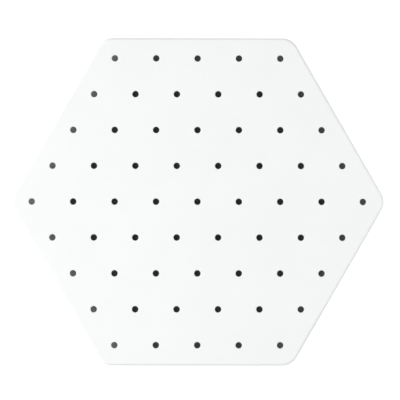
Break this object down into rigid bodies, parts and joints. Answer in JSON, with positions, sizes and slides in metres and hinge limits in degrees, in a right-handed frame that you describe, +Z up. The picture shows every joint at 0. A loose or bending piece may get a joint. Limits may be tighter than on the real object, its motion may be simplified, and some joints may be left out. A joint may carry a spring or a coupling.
{
  "type": "queen excluder",
  "caption": "White hexagonal perforated sheet with rounded corners and small round passages in a triangular grid, held one bee space clear by screwed-on feet with rubber pads.",
  "frame": {"origin": "on the surface that the pads stand on, under the middle passage of the sheet", "axes": "+Z up out of the sheet's upper face, +X towards one corner of the hexagon, +Y towards a flat side"},
  "size_m": [0.3, 0.2634, 0.011],
  "materials": {
    "sheet_plastic": "satin",
    "foot_plastic": "satin",
    "zinc_screw": "satin",
    "pad_rubber": "matte"
  },
  "bodies": {
    "root": {"perforated_sheet": "sheet_plastic", "outer_foot_1": "foot_plastic", "outer_screw_1": "zinc_screw", "outer_pad_1": "pad_rubber", "outer_foot_2": "foot_plastic", "outer_screw_2": "zinc_screw", "outer_pad_2": "pad_rubber", "outer_foot_3": "foot_plastic", "outer_screw_3": "zinc_screw", "outer_pad_3": "pad_rubber", "outer_foot_4": "foot_plastic", "outer_screw_4": "zinc_screw", "outer_pad_4": "pad_rubber", "outer_foot_5": "foot_plastic", "outer_screw_5": "zinc_screw", "outer_pad_5": "pad_rubber", "outer_foot_6": "foot_plastic", "outer_screw_6": "zinc_screw", "outer_pad_6": "pad_rubber", "inner_foot_1": "foot_plastic", "inner_screw_1": "zinc_screw", "inner_pad_1": "pad_rubber", "inner_foot_2": "foot_plastic", "inner_screw_2": "zinc_screw", "inner_pad_2": "pad_rubber", "inner_foot_3": "foot_plastic", "inner_screw_3": "zinc_screw", "inner_pad_3": "pad_rubber"}
  },
  "joints": []
}
